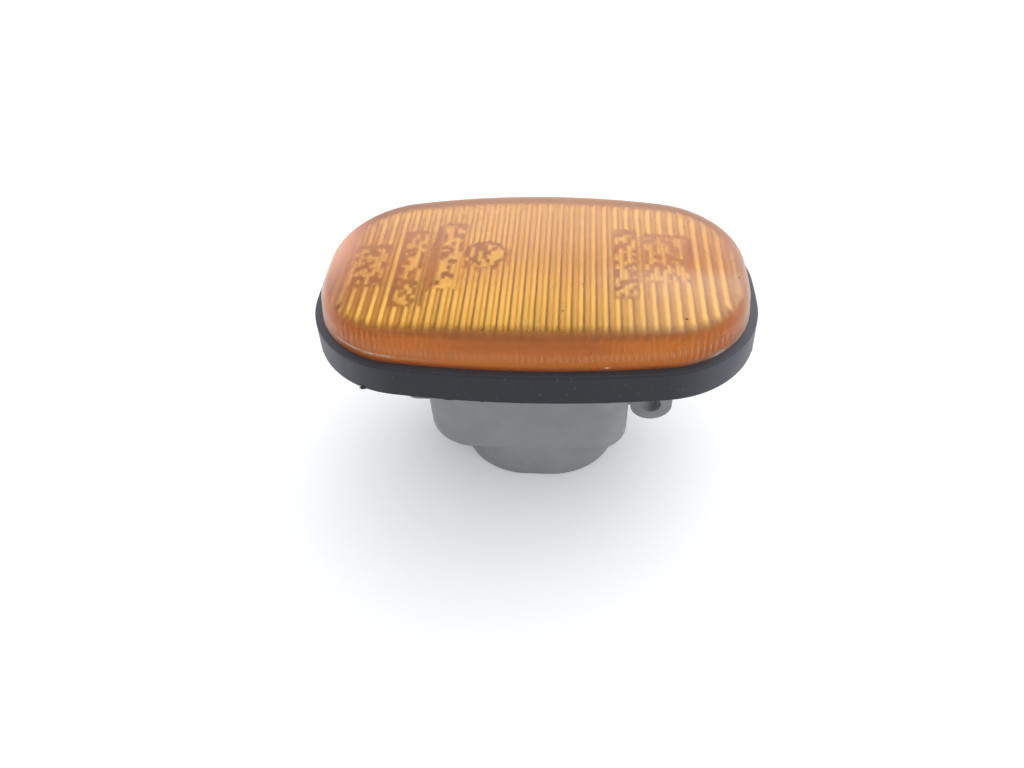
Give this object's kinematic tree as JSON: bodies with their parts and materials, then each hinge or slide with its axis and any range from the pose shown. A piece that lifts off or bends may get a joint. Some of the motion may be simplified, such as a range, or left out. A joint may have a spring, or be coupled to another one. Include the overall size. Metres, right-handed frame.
{
  "type": "side repeater lamp",
  "caption": "Oblong amber side turn signal lamp: fluted lens in a rubber gasket, moulded housing with a deep bulb well, wedge bulb in a twist-in holder.",
  "frame": {"origin": "centre of the gasket's rear face, which lies on the body panel's outside", "axes": "+X along the lamp towards the clip ears, +Z out of the panel through the lens"},
  "size_m": [0.084, 0.0484, 0.0447],
  "materials": {
    "amber_lens": "clear amber moulding, hazed with age",
    "black_rubber": "matt, dusty",
    "grey_plastic": "satin moulding",
    "holder_plastic": "satin moulding",
    "contact_brass": "rolled strip",
    "clear_glass": "clear",
    "lead_wire": "drawn wire"
  },
  "bodies": {
    "root": {"lens": "amber_lens", "gasket": "black_rubber", "housing": "grey_plastic", "bulb_holder": "holder_plastic", "holder_seal": "black_rubber", "contact_left": "contact_brass", "contact_right": "contact_brass", "bulb_glass": "clear_glass", "bulb_lead_left": "lead_wire", "bulb_lead_right": "lead_wire", "bulb_filament": "lead_wire"}
  },
  "joints": []
}
